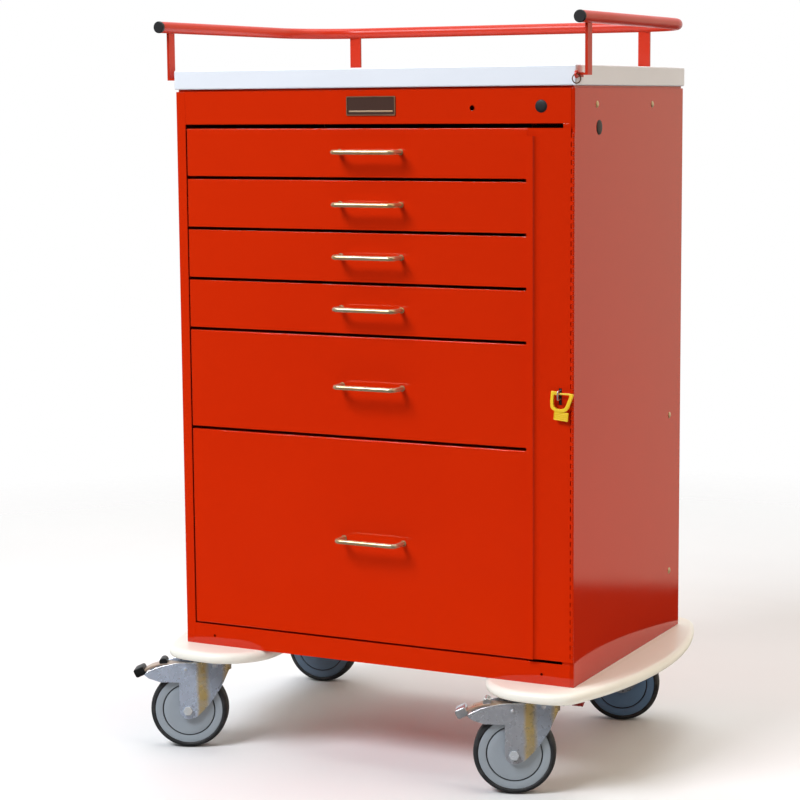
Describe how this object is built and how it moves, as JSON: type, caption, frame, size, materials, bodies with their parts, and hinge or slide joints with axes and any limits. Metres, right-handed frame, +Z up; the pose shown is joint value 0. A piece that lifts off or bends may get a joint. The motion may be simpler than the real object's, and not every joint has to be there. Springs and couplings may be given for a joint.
{
  "type": "crash cart",
  "caption": "Red steel hospital crash cart: drawers with wire pulls, hinged lock bar with seal, tube guard rail, corner bumpers and swivel casters with brakes.",
  "frame": {"origin": "on the floor, in the middle of the whole cart's box", "axes": "+Z up, front with the drawers towards -Y, +X to the right of someone facing the front"},
  "size_m": [0.7876, 0.5536, 1.115],
  "materials": {
    "red_powder_coat": "glossy powder coat",
    "white_top": "satin white laminate",
    "cream_bumper": "satin off-white",
    "black_plastic": "moulded black",
    "plate": "dark plate with a bright border",
    "zinc_steel": "zinc plated",
    "drawer_steel": "powder coat",
    "chrome_wire": "polished",
    "yellow_plastic": "moulded yellow",
    "grey_wheel": "moulded grey",
    "black_tread": "matt rubber tread",
    "red_pedal": "dark red"
  },
  "bodies": {
    "cabinet": {"left_side_panel": "red_powder_coat", "right_side_panel": "red_powder_coat", "back_panel": "red_powder_coat", "floor_panel": "red_powder_coat", "front_header": "red_powder_coat", "front_sill": "red_powder_coat", "right_stile": "red_powder_coat", "worktop": "white_top", "guard_rail": "red_powder_coat", "rail_end_caps": "black_plastic", "nameplate": "plate", "hole_plugs": "black_plastic", "side_screws": "zinc_steel", "slide_rails": "zinc_steel", "bumper_left": "cream_bumper", "bumper_right": "cream_bumper", "chassis_plates": "zinc_steel", "hinge_leaf": "red_powder_coat", "hinge_pin": "zinc_steel", "tag_ring": "chrome_wire"},
    "drawer_1": {"drawer_front_1": "red_powder_coat", "drawer_box_1": "drawer_steel", "drawer_pull_1": "chrome_wire"},
    "drawer_2": {"drawer_front_2": "red_powder_coat", "drawer_box_2": "drawer_steel", "drawer_pull_2": "chrome_wire"},
    "drawer_3": {"drawer_front_3": "red_powder_coat", "drawer_box_3": "drawer_steel", "drawer_pull_3": "chrome_wire"},
    "drawer_4": {"drawer_front_4": "red_powder_coat", "drawer_box_4": "drawer_steel", "drawer_pull_4": "chrome_wire"},
    "drawer_5": {"drawer_front_5": "red_powder_coat", "drawer_box_5": "drawer_steel", "drawer_pull_5": "chrome_wire"},
    "drawer_6": {"drawer_front_6": "red_powder_coat", "drawer_box_6": "drawer_steel", "drawer_pull_6": "chrome_wire"},
    "lock_bar": {"lock_bar": "red_powder_coat", "lock_staple": "chrome_wire"},
    "seal": {"breakaway_seal": "yellow_plastic"},
    "caster_fl": {"fork_fl": "zinc_steel", "axle_fl": "zinc_steel"},
    "wheel_fl": {"wheel_core_fl": "grey_wheel", "tyre_fl": "black_tread"},
    "caster_fr": {"fork_fr": "zinc_steel", "axle_fr": "zinc_steel"},
    "wheel_fr": {"wheel_core_fr": "grey_wheel", "tyre_fr": "black_tread"},
    "caster_rl": {"fork_rl": "zinc_steel", "axle_rl": "zinc_steel"},
    "wheel_rl": {"wheel_core_rl": "grey_wheel", "tyre_rl": "black_tread"},
    "caster_rr": {"fork_rr": "zinc_steel", "axle_rr": "zinc_steel"},
    "wheel_rr": {"wheel_core_rr": "grey_wheel", "tyre_rr": "black_tread"},
    "pedal_fl": {"brake_pedal_fl": "zinc_steel"},
    "pedal_fr": {"brake_pedal_fr": "zinc_steel"},
    "tracking_pedal": {"tracking_pedal": "red_pedal"}
  },
  "joints": [
    {"name": "drawer_1_slide", "type": "slide", "parent": "cabinet", "child": "drawer_1", "axis": [0, -1, 0], "range_m": [0, 0.3]},
    {"name": "drawer_2_slide", "type": "slide", "parent": "cabinet", "child": "drawer_2", "axis": [0, -1, 0], "range_m": [0, 0.3]},
    {"name": "drawer_3_slide", "type": "slide", "parent": "cabinet", "child": "drawer_3", "axis": [0, -1, 0], "range_m": [0, 0.3]},
    {"name": "drawer_4_slide", "type": "slide", "parent": "cabinet", "child": "drawer_4", "axis": [0, -1, 0], "range_m": [0, 0.3]},
    {"name": "drawer_5_slide", "type": "slide", "parent": "cabinet", "child": "drawer_5", "axis": [0, -1, 0], "range_m": [0, 0.3]},
    {"name": "drawer_6_slide", "type": "slide", "parent": "cabinet", "child": "drawer_6", "axis": [0, -1, 0], "range_m": [0, 0.3]},
    {"name": "lock_bar_hinge", "type": "hinge", "parent": "cabinet", "child": "lock_bar", "pos_m": [0.32965, -0.2207, 0.57635], "axis": [0, 0, 1], "range_deg": [0, 110]},
    {"name": "seal_swing", "type": "hinge", "parent": "lock_bar", "child": "seal", "pos_m": [0.31045, -0.2265, 0.5846], "axis": [-1, 0, 0], "range_deg": [-3, 75]},
    {"name": "swivel_fl", "type": "hinge", "parent": "cabinet", "child": "caster_fl", "pos_m": [-0.27065, -0.2124, 0.131], "axis": [0, 0, 1], "continuous": true},
    {"name": "wheel_spin_fl", "type": "hinge", "parent": "caster_fl", "child": "wheel_fl", "pos_m": [-0.30902, -0.22948, 0.06], "axis": [-0.4067, 0.9135, 0], "continuous": true},
    {"name": "swivel_fr", "type": "hinge", "parent": "cabinet", "child": "caster_fr", "pos_m": [0.28235, -0.2124, 0.131], "axis": [0, 0, 1], "continuous": true},
    {"name": "wheel_spin_fr", "type": "hinge", "parent": "caster_fr", "child": "wheel_fr", "pos_m": [0.2434, -0.22813, 0.06], "axis": [-0.3746, 0.9272, 0], "continuous": true},
    {"name": "swivel_rl", "type": "hinge", "parent": "cabinet", "child": "caster_rl", "pos_m": [-0.27065, 0.2124, 0.131], "axis": [0, 0, 1], "continuous": true},
    {"name": "wheel_spin_rl", "type": "hinge", "parent": "caster_rl", "child": "wheel_rl", "pos_m": [-0.31202, 0.20511, 0.06], "axis": [-0.1736, 0.9848, 0], "continuous": true},
    {"name": "swivel_rr", "type": "hinge", "parent": "cabinet", "child": "caster_rr", "pos_m": [0.28235, 0.2124, 0.131], "axis": [0, 0, 1], "continuous": true},
    {"name": "wheel_spin_rr", "type": "hinge", "parent": "caster_rr", "child": "wheel_rr", "pos_m": [0.24218, 0.20012, 0.06], "axis": [-0.2924, 0.9563, 0], "continuous": true},
    {"name": "brake_pedal_fl_hinge", "type": "hinge", "parent": "caster_fl", "child": "pedal_fl", "pos_m": [-0.31176, -0.2307, 0.1253], "axis": [0.4067, -0.9135, 0], "range_deg": [0, 12]},
    {"name": "brake_pedal_fr_hinge", "type": "hinge", "parent": "caster_fr", "child": "pedal_fr", "pos_m": [0.24062, -0.22926, 0.1253], "axis": [0.3746, -0.9272, 0], "range_deg": [0, 12]},
    {"name": "tracking_pedal_hinge", "type": "hinge", "parent": "cabinet", "child": "tracking_pedal", "pos_m": [0.26085, 0.0345, 0.129], "axis": [1, 0, 0], "range_deg": [0, 12]}
  ]
}
